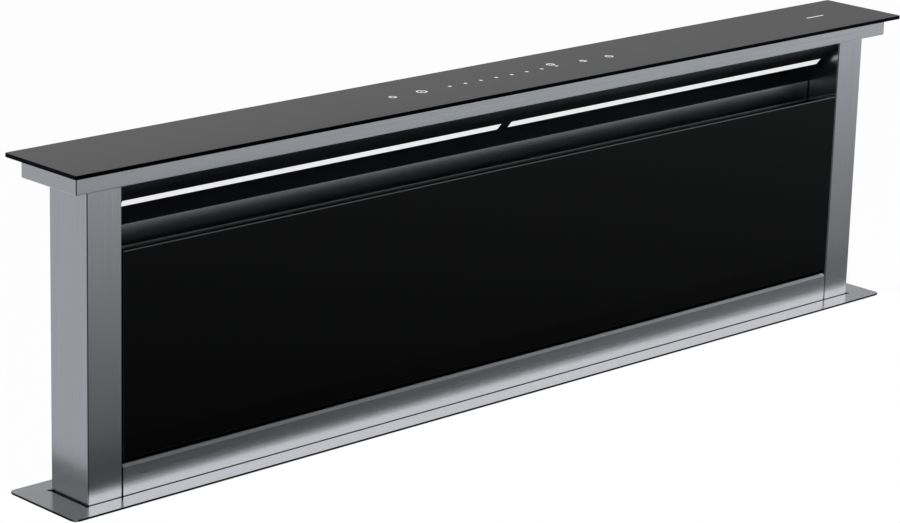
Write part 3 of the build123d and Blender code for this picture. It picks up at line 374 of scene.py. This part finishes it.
def brushedSteel(name, along, s=brushedSet, cutSheet=None, cutAxes=(0, 1), folded=None, darkBehind=None):
    # cutSheet: the node whose sheared edges get painted shade; folded: nodes whose folded corners get a
    # painted darker line; darkBehind: a Y past which the sheet is painted dark, for shade
    material, tree = newMaterial(name)
    scale = [perMetre(s["streak"])] * 3
    scale["XYZ".index(along)] = perMetre(s["length"])
    streaks = stretchedNoise(tree, scale, 4.0)
    fine = stretchedNoise(tree, [v * s["fine"] for v in scale], 2.0, s["fineSeed"])
    tones = [colour(s["steel"], 1 - s["contrast"]), colour(s["steel"], 1 + s["contrast"])]
    tone = addNode(tree, "ShaderNodeValToRGB", {"stops": overNoise(*tones)}, {"Fac": streaks})
    gloss = addNode(tree, "ShaderNodeMapRange", {
        "From Min": noiseLow, "From Max": noiseHigh,
        "To Min": s["roughness"] - s["glossSpread"], "To Max": s["roughness"] + s["glossSpread"]},
        {"Value": streaks})
    bump = addNode(tree, "ShaderNodeBump", {"Strength": s["scratchBump"], "Distance": bumpDepth},
                   {"Height": fine})
    marks = []  # each a mask and the painted shade that it lays over the steel
    if cutSheet:
        # painted shade: a near-black band along the sheet's cut edges
        middle, half = sheetBox(cutSheet)
        inner = [half[i] - s["edgeBand"] if i in cutAxes else anywhere for i in (0, 1)]
        marks.append((farFrom(tree, middle, inner), s["paintedShade"]))
    if folded:
        # painted shade: a darker band along the folded corners
        middle, half = sheetBox(*folded)
        inner = [v - s["foldBand"] for v in half]
        marks.append((farFrom(tree, middle, inner, both=True), s["fold"]))
    if darkBehind is not None:
        # painted shade: the side that faces into the duct is laid near-black
        inside = addNode(tree, "ShaderNodeMath", {"operation": "GREATER_THAN", 1: darkBehind},
                         {0: objectAxes(tree)["Y"]})
        marks.append((inside.outputs[0], s["paintedShade"]))
    base = tone.outputs[0]
    for mask, shade in marks:
        base = addNode(tree, "ShaderNodeMix", {"data_type": "RGBA", 7: colour(shade)},
                       {"Factor": mask, 6: base}).outputs[2]
    finishMaterial(tree, addNode(tree, "ShaderNodeBsdfPrincipled", {"Metallic": 1.0}, {
        "Base Color": base, "Roughness": gloss.outputs[0], "Normal": bump.outputs[0]}))
    return material


# hot-dip galvanised sheet: dull zinc with faint crystal spangle
galvanisedSet = {
    "zinc": ("#abafb2", "#babec0"), "toneFrom": 0.45, "toneTo": 0.95,
    "spangle": 9.0, "cloud": 60.0,  # both in mm
    "crystalShare": 0.55,
    "roughness": (0.47, 0.37), "glossFrom": 0.4, "glossTo": 1.0,
}


def galvanisedSheet(s=galvanisedSet):
    material, tree = newMaterial("galvanised sheet")
    place = addNode(tree, "ShaderNodeTexCoord")
    crystals = addNode(tree, "ShaderNodeTexVoronoi", {"Scale": perMetre(s["spangle"]), "Randomness": 1.0},
                       {"Vector": place.outputs["Object"]})
    mixed = addNode(tree, "ShaderNodeMath", {"operation": "MULTIPLY_ADD", 1: s["crystalShare"]}, {
        0: crystals.outputs["Color"], 2: stretchedNoise(tree, [perMetre(s["cloud"])] * 3)})
    stops = [(s["toneFrom"], colour(s["zinc"][0])), (s["toneTo"], colour(s["zinc"][1]))]
    tone = addNode(tree, "ShaderNodeValToRGB", {"stops": stops}, {"Fac": mixed.outputs[0]})
    gloss = addNode(tree, "ShaderNodeMapRange", {
        "From Min": s["glossFrom"], "From Max": s["glossTo"],
        "To Min": s["roughness"][0], "To Max": s["roughness"][1]}, {"Value": mixed.outputs[0]})
    finishMaterial(tree, addNode(tree, "ShaderNodeBsdfPrincipled", {"Metallic": 1.0}, {
        "Base Color": tone.outputs[0], "Roughness": gloss.outputs[0]}))
    return material


# toughened soda-lime glass, back-printed black: a deep black under a clear even gloss
capGlassSet = {
    "ink": "#050506", "ior": 1.33, "roughness": 0.05, "hazed": 0.07, "haze": 260.0,
    # painted shade: the edges under the top are a near-black metal
    "edge": "#040404", "edgeFrom": 0.0003,
    "arris": "#34353a", "arrisWidth": 0.0009,  # painted highlight: a lighter band round the rim of the top face, for the light a polished arris catches
}
frontGlassSet = {
    "ink": "#020202", "ior": 1.27, "roughness": 0.06, "hazed": 0.08, "haze": 260.0,
    # painted highlight: the band along the top of the front face is laid in the edges' light metal
    "edge": "#909295", "edgeFrom": 0.0003, "topHighlight": 0.0011,
    "lowEdge": "#0a0a0b", "lowBand": 0.0007, "lowRough": 0.85,  # painted shade: the bottom edge is laid dark and matt
}


def glassGloss(tree, s):
    # the gloss changes a little over some 26 cm, as wiped glass does
    return addNode(tree, "ShaderNodeMapRange", {
        "From Min": noiseLow, "From Max": noiseHigh, "To Min": s["roughness"], "To Max": s["hazed"]},
        {"Value": stretchedNoise(tree, [perMetre(s["haze"])] * 3, 2.0)})


def capGlass(s=capGlassSet):
    # the top is black and glossy; under it the edges are painted shade, a near-black metal that mirrors
    # almost nothing
    material, tree = newMaterial("black glass cap")
    gloss = glassGloss(tree, s)
    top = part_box("glass_top")[1][2]
    # painted shade on the edges under the top
    cut = addNode(tree, "ShaderNodeMath", {"operation": "LESS_THAN", 1: top - s["edgeFrom"]},
                  {0: objectAxes(tree)["Z"]})
    middle, half = sheetBox("glass_top")
    # painted highlight: the rim of the top face is laid lighter
    rim = farFrom(tree, middle, [v - s["arrisWidth"] for v in half])
    face = addNode(tree, "ShaderNodeMix", {"data_type": "RGBA", 6: colour(s["ink"]), 7: colour(s["arris"])},
                   {"Factor": rim})
    base = addNode(tree, "ShaderNodeMix", {"data_type": "RGBA", 7: colour(s["edge"])},
                   {"Factor": cut.outputs[0], 6: face.outputs[2]})
    finishMaterial(tree, addNode(tree, "ShaderNodeBsdfPrincipled", {"IOR": s["ior"]}, {
        "Base Color": base.outputs[2], "Roughness": gloss.outputs[0], "Metallic": cut.outputs[0]}))
    return material


def frontGlass(s=frontGlassSet):
    # the front is black and glossy; its edges are a light grey metal that catches the light, a band along
    # its top is a painted highlight, and the bottom edge is painted shade
    material, tree = newMaterial("black glass front")
    gloss = glassGloss(tree, s)
    axes = objectAxes(tree)
    low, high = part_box("front_glass")
    side = addNode(tree, "ShaderNodeMath", {"operation": "GREATER_THAN", 1: low[1] + s["edgeFrom"]},
                   {0: axes["Y"]})
    # painted highlight: a band along the top
    top = addNode(tree, "ShaderNodeMath", {"operation": "GREATER_THAN", 1: high[2] - s["topHighlight"]},
                  {0: axes["Z"]})
    cut = addNode(tree, "ShaderNodeMath", {"operation": "MAXIMUM"}, {0: side.outputs[0], 1: top.outputs[0]})
    # painted shade along the bottom edge
    matt = addNode(tree, "ShaderNodeMath", {"operation": "LESS_THAN", 1: low[2] + s["lowBand"]},
                   {0: axes["Z"]})
    edge = addNode(tree, "ShaderNodeMix", {
        "data_type": "RGBA", 6: colour(s["edge"]), 7: colour(s["lowEdge"])}, {"Factor": matt.outputs[0]})
    bright = addNode(tree, "ShaderNodeMath", {"operation": "SUBTRACT", "use_clamp": True},
                     {0: cut.outputs[0], 1: matt.outputs[0]})
    rough = addNode(tree, "ShaderNodeMath", {"operation": "MULTIPLY_ADD", 1: s["lowRough"]},
                    {0: matt.outputs[0], 2: gloss.outputs[0]})
    base = addNode(tree, "ShaderNodeMix", {"data_type": "RGBA", 6: colour(s["ink"])},
                   {"Factor": cut.outputs[0], 7: edge.outputs[2]})
    finishMaterial(tree, addNode(tree, "ShaderNodeBsdfPrincipled", {"IOR": s["ior"]}, {
        "Base Color": base.outputs[2], "Roughness": rough.outputs[0], "Metallic": bright.outputs[0]}))
    return material


# satin enamel and lacquer, sprayed: even, slightly pebbled
enamelSet = {"grain": 1.2, "cloud": 90.0, "roughness": 0.34, "pebbleBump": 0.12, "dip": 0.92}


def satinEnamel(name, shade, s=enamelSet):
    material, tree = newMaterial(name)
    bump = addNode(tree, "ShaderNodeBump", {"Strength": s["pebbleBump"], "Distance": bumpDepth},
                   {"Height": stretchedNoise(tree, [perMetre(s["grain"])] * 3, 2.0)})
    tone = addNode(tree, "ShaderNodeValToRGB", {"stops": overNoise(colour(shade, s["dip"]), colour(shade))},
                   {"Fac": stretchedNoise(tree, [perMetre(s["cloud"])] * 3, 2.0)})
    finishMaterial(tree, addNode(tree, "ShaderNodeBsdfPrincipled", {"Roughness": s["roughness"]}, {
        "Normal": bump.outputs[0], "Base Color": tone.outputs[0]}))
    return material


# opal acrylic over light-emitting diodes: even white that glows by itself, its borders masked black
opalSet = {
    "lit": (0.28142, 0.28835),  # metres above the worktop
    "opal": "#b4b4b3", "mask": "#0a0a0b", "glow": (0.60, 0.70), "patch": 30.0, "roughness": 0.4,
}


def litOpal(s=opalSet):
    material, tree = newMaterial("lit opal acrylic")
    level = addNode(tree, "ShaderNodeMapRange", {"To Min": s["glow"][0], "To Max": s["glow"][1]},
                    {"Value": stretchedNoise(tree, [perMetre(s["patch"])] * 3, 1.0)})
    axes = objectAxes(tree)
    over = addNode(tree, "ShaderNodeMath", {"operation": "GREATER_THAN", 1: s["lit"][0]}, {0: axes["Z"]})
    under = addNode(tree, "ShaderNodeMath", {"operation": "LESS_THAN", 1: s["lit"][1]}, {0: axes["Z"]})
    lit = addNode(tree, "ShaderNodeMath", {"operation": "MULTIPLY"},
                  {0: over.outputs[0], 1: under.outputs[0]})
    glow = addNode(tree, "ShaderNodeMath", {"operation": "MULTIPLY"},
                   {0: level.outputs[0], 1: lit.outputs[0]})
    base = addNode(tree, "ShaderNodeMix", {"data_type": "RGBA", 6: colour(s["mask"]), 7: colour(s["opal"])},
                   {"Factor": lit.outputs[0]})
    finishMaterial(tree, addNode(tree, "ShaderNodeBsdfPrincipled", {
        "Roughness": s["roughness"], "Emission Color": colour("#ffffff")}, {
        "Base Color": base.outputs[2], "Emission Strength": glow.outputs[0]}))
    return material


# moulded plastics, foam and castings: a fine spark grain off the mould
plasticSet = {"grainBump": 0.2, "dip": 0.9}


def mouldedPlastic(name, shade, grain=0.8, roughness=0.45, s=plasticSet):
    material, tree = newMaterial(name)
    spark = stretchedNoise(tree, [perMetre(grain)] * 3, 2.0)
    bump = addNode(tree, "ShaderNodeBump", {"Strength": s["grainBump"], "Distance": bumpDepth},
                   {"Height": spark})
    tone = addNode(tree, "ShaderNodeValToRGB", {"stops": overNoise(colour(shade, s["dip"]), colour(shade))},
                   {"Fac": spark})
    finishMaterial(tree, addNode(tree, "ShaderNodeBsdfPrincipled", {"Roughness": roughness}, {
        "Normal": bump.outputs[0], "Base Color": tone.outputs[0]}))
    return material


# turned, milled or rolled metal: fine marks that run one way
machinedSet = {"run": 40.0, "smoother": 0.06, "rougher": 0.1, "dip": 0.9}


def machinedMetal(name, shade, along, pitch=1.0, roughness=0.3, s=machinedSet):
    material, tree = newMaterial(name)
    scale = [perMetre(pitch)] * 3
    scale["XYZ".index(along)] = perMetre(s["run"])
    marks = stretchedNoise(tree, scale, 2.0)
    gloss = addNode(tree, "ShaderNodeMapRange", {
        "From Min": noiseLow, "From Max": noiseHigh,
        "To Min": roughness - s["smoother"], "To Max": roughness + s["rougher"]}, {"Value": marks})
    tone = addNode(tree, "ShaderNodeValToRGB", {"stops": overNoise(colour(shade, s["dip"]), colour(shade))},
                   {"Fac": marks})
    finishMaterial(tree, addNode(tree, "ShaderNodeBsdfPrincipled", {"Metallic": 1.0}, {
        "Roughness": gloss.outputs[0], "Base Color": tone.outputs[0]}))
    return material


# black anodised aluminium extrusion, brushed: dark grey over the lamps, blacker under them
profileSet = {
    "upper": "#606167", "lower": "#25262a", "from": 0.2850, "streak": 0.9, "length": 160.0, "dip": 0.88,
    "roughness": (0.28, 0.32),
}


def blackProfile(s=profileSet):
    material, tree = newMaterial("black anodised aluminium")
    marks = stretchedNoise(tree, [perMetre(s["length"]), perMetre(s["streak"]), perMetre(s["streak"])], 2.0)
    tones = [colour(s["upper"], s["dip"]), colour(s["upper"])]
    tone = addNode(tree, "ShaderNodeValToRGB", {"stops": overNoise(*tones)}, {"Fac": marks})
    gloss = addNode(tree, "ShaderNodeMapRange", {
        "From Min": noiseLow, "From Max": noiseHigh,
        "To Min": s["roughness"][0], "To Max": s["roughness"][1]}, {"Value": marks})
    upper = addNode(tree, "ShaderNodeMath", {"operation": "GREATER_THAN", 1: s["from"]},
                    {0: objectAxes(tree)["Z"]})
    base = addNode(tree, "ShaderNodeMix", {"data_type": "RGBA", 6: colour(s["lower"])},
                   {"Factor": upper.outputs[0], 7: tone.outputs[0]})
    finishMaterial(tree, addNode(tree, "ShaderNodeBsdfPrincipled", {"Metallic": 1.0}, {
        "Base Color": base.outputs[2], "Roughness": gloss.outputs[0]}))
    return material


# blackened folded steel behind the glass: a dark soft mirror, its top return burnished smoother
frameSet = {
    "steel": "#242528", "dip": 0.94, "rimFrom": 0.2449, "streak": 1.4, "length": 160.0,
    "roughness": 0.34, "rimRoughness": 0.12,
}


def frameSteel(s=frameSet):
    material, tree = newMaterial("blackened steel frame")
    marks = stretchedNoise(tree, [perMetre(s["length"]), perMetre(s["streak"]), perMetre(s["streak"])], 2.0)
    tones = [colour(s["steel"], s["dip"]), colour(s["steel"])]
    tone = addNode(tree, "ShaderNodeValToRGB", {"stops": overNoise(*tones)}, {"Fac": marks})
    rim = addNode(tree, "ShaderNodeMath", {"operation": "GREATER_THAN", 1: s["rimFrom"]},
                  {0: objectAxes(tree)["Z"]})
    gloss = addNode(tree, "ShaderNodeMapRange", {"To Min": s["roughness"], "To Max": s["rimRoughness"]},
                    {"Value": rim.outputs[0]})
    finishMaterial(tree, addNode(tree, "ShaderNodeBsdfPrincipled", {"Metallic": 1.0}, {
        "Base Color": tone.outputs[0], "Roughness": gloss.outputs[0]}))
    return material


# each finish and the nodes that it is laid on
finishes = [
    # the uprights' and the tray's folded corners carry a painted darker line
    (brushedSteel("brushed stainless upright", "Z", folded=("column_left", "column_right")),
     ["column_left", "column_right"]),
    (brushedSteel("brushed stainless tray", "X", folded=("top_tray",)), ["top_tray"]),
    (brushedSteel("brushed stainless lengthwise", "X"), ["tower_rear_panel"]),
    # the flange's cut edges, and the trim's cut ends and inner side, are painted shade
    (brushedSteel("brushed stainless flange", "X", cutSheet="worktop_flange"), ["worktop_flange"]),
    (brushedSteel("brushed stainless trim", "X", trimSet, cutSheet="lower_trim", cutAxes=(0,),
                  darkBehind=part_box("front_panel_frame")[0][1] - trimSet["shadeBefore"]), ["lower_trim"]),
    (brushedSteel("dull stainless duct", "Z", ductSet), ["duct_side_left", "duct_side_right"]),
    (brushedSteel("dull stainless baffle", "X", baffleSet), ["air_baffle"]),
    (galvanisedSheet(),
     ["chassis_front_panel", "chassis_rear_panel", "chassis_side_left", "chassis_side_right",
      "chassis_floor", "foot_rail_left", "foot_rail_right", "blower_scroll", "blower_cover", "inlet_ring",
      "electronics_box", "electronics_cover", "worktop_clamps"]),
    (capGlass(), ["glass_top"]),
    (frontGlass(), ["front_glass"]),
    (frameSteel(), ["front_panel_frame"]),
    (blackProfile(), ["led_fascia"]),
    (litOpal(), ["led_diffuser_left", "led_diffuser_right"]),
    (satinEnamel("black satin enamel", "#090a0d"), ["panel_catches"]),
    (satinEnamel("green solder mask", "#0e4a2a"), ["touch_board", "control_board"]),
    (satinEnamel("black motor coat", "#1a1b1d"), ["lift_motor", "blower_motor"]),
    (mouldedPlastic("closed-cell foam", "#141415", 1.5, 0.8), ["worktop_seal"]),
    (mouldedPlastic("natural acetal", "#dcdbd4", 0.8, 0.35),
     ["sliders_left", "sliders_right", "shaft_bearing_left", "shaft_bearing_right"]),
    (mouldedPlastic("black glass-filled nylon", "#17181a"),
     ["impeller", "outlet_duct", "flap_front", "flap_rear", "limit_switches", "mains_gland"]),
    (mouldedPlastic("die-cast aluminium", "#9a9c9e", 0.7, 0.4), ["lift_gearbox"]),
    (machinedMetal("machined steel", "#b9bbbe", "Z"),
     ["rack_left", "rack_right", "pinions", "guide_rail_left", "guide_rail_right", "flap_pin",
      "clamp_screws"]),
    (machinedMetal("ground steel shaft", "#c4c6c8", "X"), ["sync_shaft", "panel_pins", "motor_shaft"]),
    (machinedMetal("zinc-plated screws", "#c6c8ca", "Z", 0.6, 0.28), ["tower_screws", "chassis_screws"]),
    (machinedMetal("filter aluminium", "#c2c5c8", "Z", 1.6, 0.36),
     ["grease_filter_left", "grease_filter_right"]),
    (machinedMetal("plain aluminium", "#cfd1d3", "X", 1.2, 0.34), ["led_boards"]),
]

for material, names in finishes:
    for name in names:
        mesh = nodes[name].data
        mesh.materials.clear()
        mesh.materials.append(material)
print("finishes laid on", sum(len(names) for material, names in finishes), "nodes")


# ---- foam seal pressed flat under the flange, out to its rim: past the inset seal in the model its dark foam stands in for the shade under the rim
sealSet = {"fromRim": 0.0003, "corner": 0.0062, "cornerSteps": 6, "width": 0.0078}


def makeSeal(s):
    flangeLow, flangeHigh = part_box("worktop_flange")
    sealLow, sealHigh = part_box("worktop_seal")
    bm = bmesh.new()
    bmesh.ops.create_grid(bm, x_segments=1, y_segments=1, size=0.5)
    # the seal reaches almost to the rim, so its dark foam also fills the shade under the rim
    bmesh.ops.scale(bm, vec=(flangeHigh[0] - flangeLow[0] - 2 * s["fromRim"],
                             flangeHigh[1] - flangeLow[1] - 2 * s["fromRim"], 1), verts=bm.verts)
    bmesh.ops.translate(bm, vec=((flangeLow[0] + flangeHigh[0]) / 2, (flangeLow[1] + flangeHigh[1]) / 2,
                                 sealLow[2]), verts=bm.verts)
    bmesh.ops.bevel(bm, geom=bm.verts[:], offset=s["corner"], offset_type="OFFSET",
                    segments=s["cornerSteps"], profile=0.5, affect="VERTICES", material=-1)
    bmesh.ops.inset_region(bm, faces=bm.faces[:], thickness=s["width"], use_even_offset=True,
                           use_boundary=True)
    inner = max(bm.faces, key=lambda face: len(face.verts))
    bmesh.ops.delete(bm, geom=[inner], context="FACES_ONLY")
    raised = bmesh.ops.extrude_face_region(bm, geom=bm.faces[:])["geom"]
    up = [item for item in raised if isinstance(item, bmesh.types.BMVert)]
    bmesh.ops.translate(bm, vec=(0, 0, sealHigh[2] - sealLow[2]), verts=up)
    bmesh.ops.recalc_face_normals(bm, faces=bm.faces)
    seal = meshObject("foamSeal", bm, nodes["worktop_seal"].data.materials[0])
    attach(seal, "chassis")
    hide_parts("worktop_seal")


makeSeal(sealSet)
print("seal laid")


# ---- touch marks printed on the glass, in metres
touchSet = {
    "ink": ("#e6e6e6", "#fafafa"),
    "inkFrom": 0.2,
    "inkTo": 0.8,
    "roughness": 0.5,
    "speck": 0.6,  # mm
    "lift": 0.00012,  # the ink stands this far above the glass
    "line": 0.0021,
    "ringSteps": 28,
    "dotSteps": 20,
    "dots": (-0.0726, -0.0020, 0.0021),  # x and y of the first one, radius
    "dotPitch": 0.0222,
    "dotCount": 8,
    "power": (-0.1516, -0.0017, 0.0034),  # x, y and radius of the ring, as for speed, timer and lamp
    "powerGap": (120, 300),  # where the ring starts and how far it runs, in degrees
    "powerStroke": (0.0033, 0.0040),  # how far above the ring's middle, and its length
    "speed": (-0.1117, -0.0018, 0.0050),
    "fan": (0.0014, 0.0028, 0.0011),  # how far out each blade lies, its length and width
    "timer": (0.0827, 0.0070, 0.0040),
    "hand": (0.0012, 0.0024),  # how far out its middle lies, and its length
    "filter": (0.1232, -0.0018, 0.0031),  # x, y and pitch of the bars
    "filterBars": (0.0058, 0.0100, 0.0058),
    "lamp": (0.1617, -0.0029, 0.0038),
    "lampDot": 0.0012,
    "bar": (0.4882, 0.5173, -0.0015, 0.0026),  # x from, to, y, width
}


def makeTouchMarks(s):
    ink, tree = newMaterial("white ceramic ink")
    stops = [(s["inkFrom"], colour(s["ink"][0])), (s["inkTo"], colour(s["ink"][1]))]
    tone = addNode(tree, "ShaderNodeValToRGB", {"stops": stops},
                   {"Fac": stretchedNoise(tree, [perMetre(s["speck"])] * 3, 1.0)})
    finishMaterial(tree, addNode(tree, "ShaderNodeBsdfPrincipled", {"Roughness": s["roughness"]},
                                 {"Base Color": tone.outputs[0]}))
    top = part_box("glass_top")[1][2] + s["lift"]
    bm = bmesh.new()

    def dot(x, y, radius):
        bmesh.ops.create_circle(bm, cap_ends=True, segments=s["dotSteps"], radius=radius,
                                matrix=Matrix.Translation((x, y, top)))

    def ring(x, y, radius, turn=0.0, sweep=360.0):
        start = bm.verts.new((x + radius - s["line"] / 2, y, top))
        end = bm.verts.new((x + radius + s["line"] / 2, y, top))
        edge = bm.edges.new((start, end))
        bmesh.ops.rotate(bm, verts=[start, end], cent=(x, y, top),
                         matrix=Matrix.Rotation(math.radians(turn), 3, "Z"))
        bmesh.ops.spin(bm, geom=[start, end, edge], cent=(x, y, top), axis=(0, 0, 1),
                       angle=math.radians(sweep), steps=s["ringSteps"], use_merge=sweep >= 360.0)

    def stroke(x, y, length, turn, width=s["line"]):
        made = bmesh.ops.create_grid(bm, x_segments=1, y_segments=1, size=0.5)["verts"]
        bmesh.ops.scale(bm, vec=(length, width, 1), verts=made)
        bmesh.ops.rotate(bm, verts=made, cent=(0, 0, 0),
                         matrix=Matrix.Rotation(math.radians(turn), 3, "Z"))
        bmesh.ops.translate(bm, vec=(x, y, top), verts=made)

    x, y, radius = s["dots"]
    for i in range(s["dotCount"]):
        dot(x + s["dotPitch"] * i, y, radius)
    # power: a broken ring with an upright stroke
    x, y, radius = s["power"]
    ring(x, y, radius, *s["powerGap"])
    stroke(x, y + s["powerStroke"][0], s["powerStroke"][1], 90)
    # speed: a ringed fan of three blades
    x, y, radius = s["speed"]
    ring(x, y, radius)
    out, length, width = s["fan"]
    for turn in (90, 210, 330):
        angle = math.radians(turn)
        stroke(x + out * math.cos(angle), y + out * math.sin(angle), length, turn, width)
    # timer: a ring with two hands
    x, y, radius = s["timer"]
    ring(x, y, radius)
    stroke(x, y + s["hand"][0], s["hand"][1], 90)
    stroke(x + s["hand"][0], y, s["hand"][1], 0)
    # filter: three bars
    x, y, pitch = s["filter"]
    for k, length in enumerate(s["filterBars"]):
        stroke(x, y + pitch * (k - 1), length, 0)
    # lamp: a ring with a dot
    x, y, radius = s["lamp"]
    ring(x, y, radius)
    dot(x, y, s["lampDot"])
    # plain bar at the right
    x0, x1, y, width = s["bar"]
    stroke((x0 + x1) / 2, y, x1 - x0, 0, width)
    bmesh.ops.recalc_face_normals(bm, faces=bm.faces)
    for face in bm.faces:
        if face.normal.z < 0:
            face.normal_flip()
    marks = meshObject("touchMarks", bm, ink)
    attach(marks, "tower")


makeTouchMarks(touchSet)
print("touch marks printed")
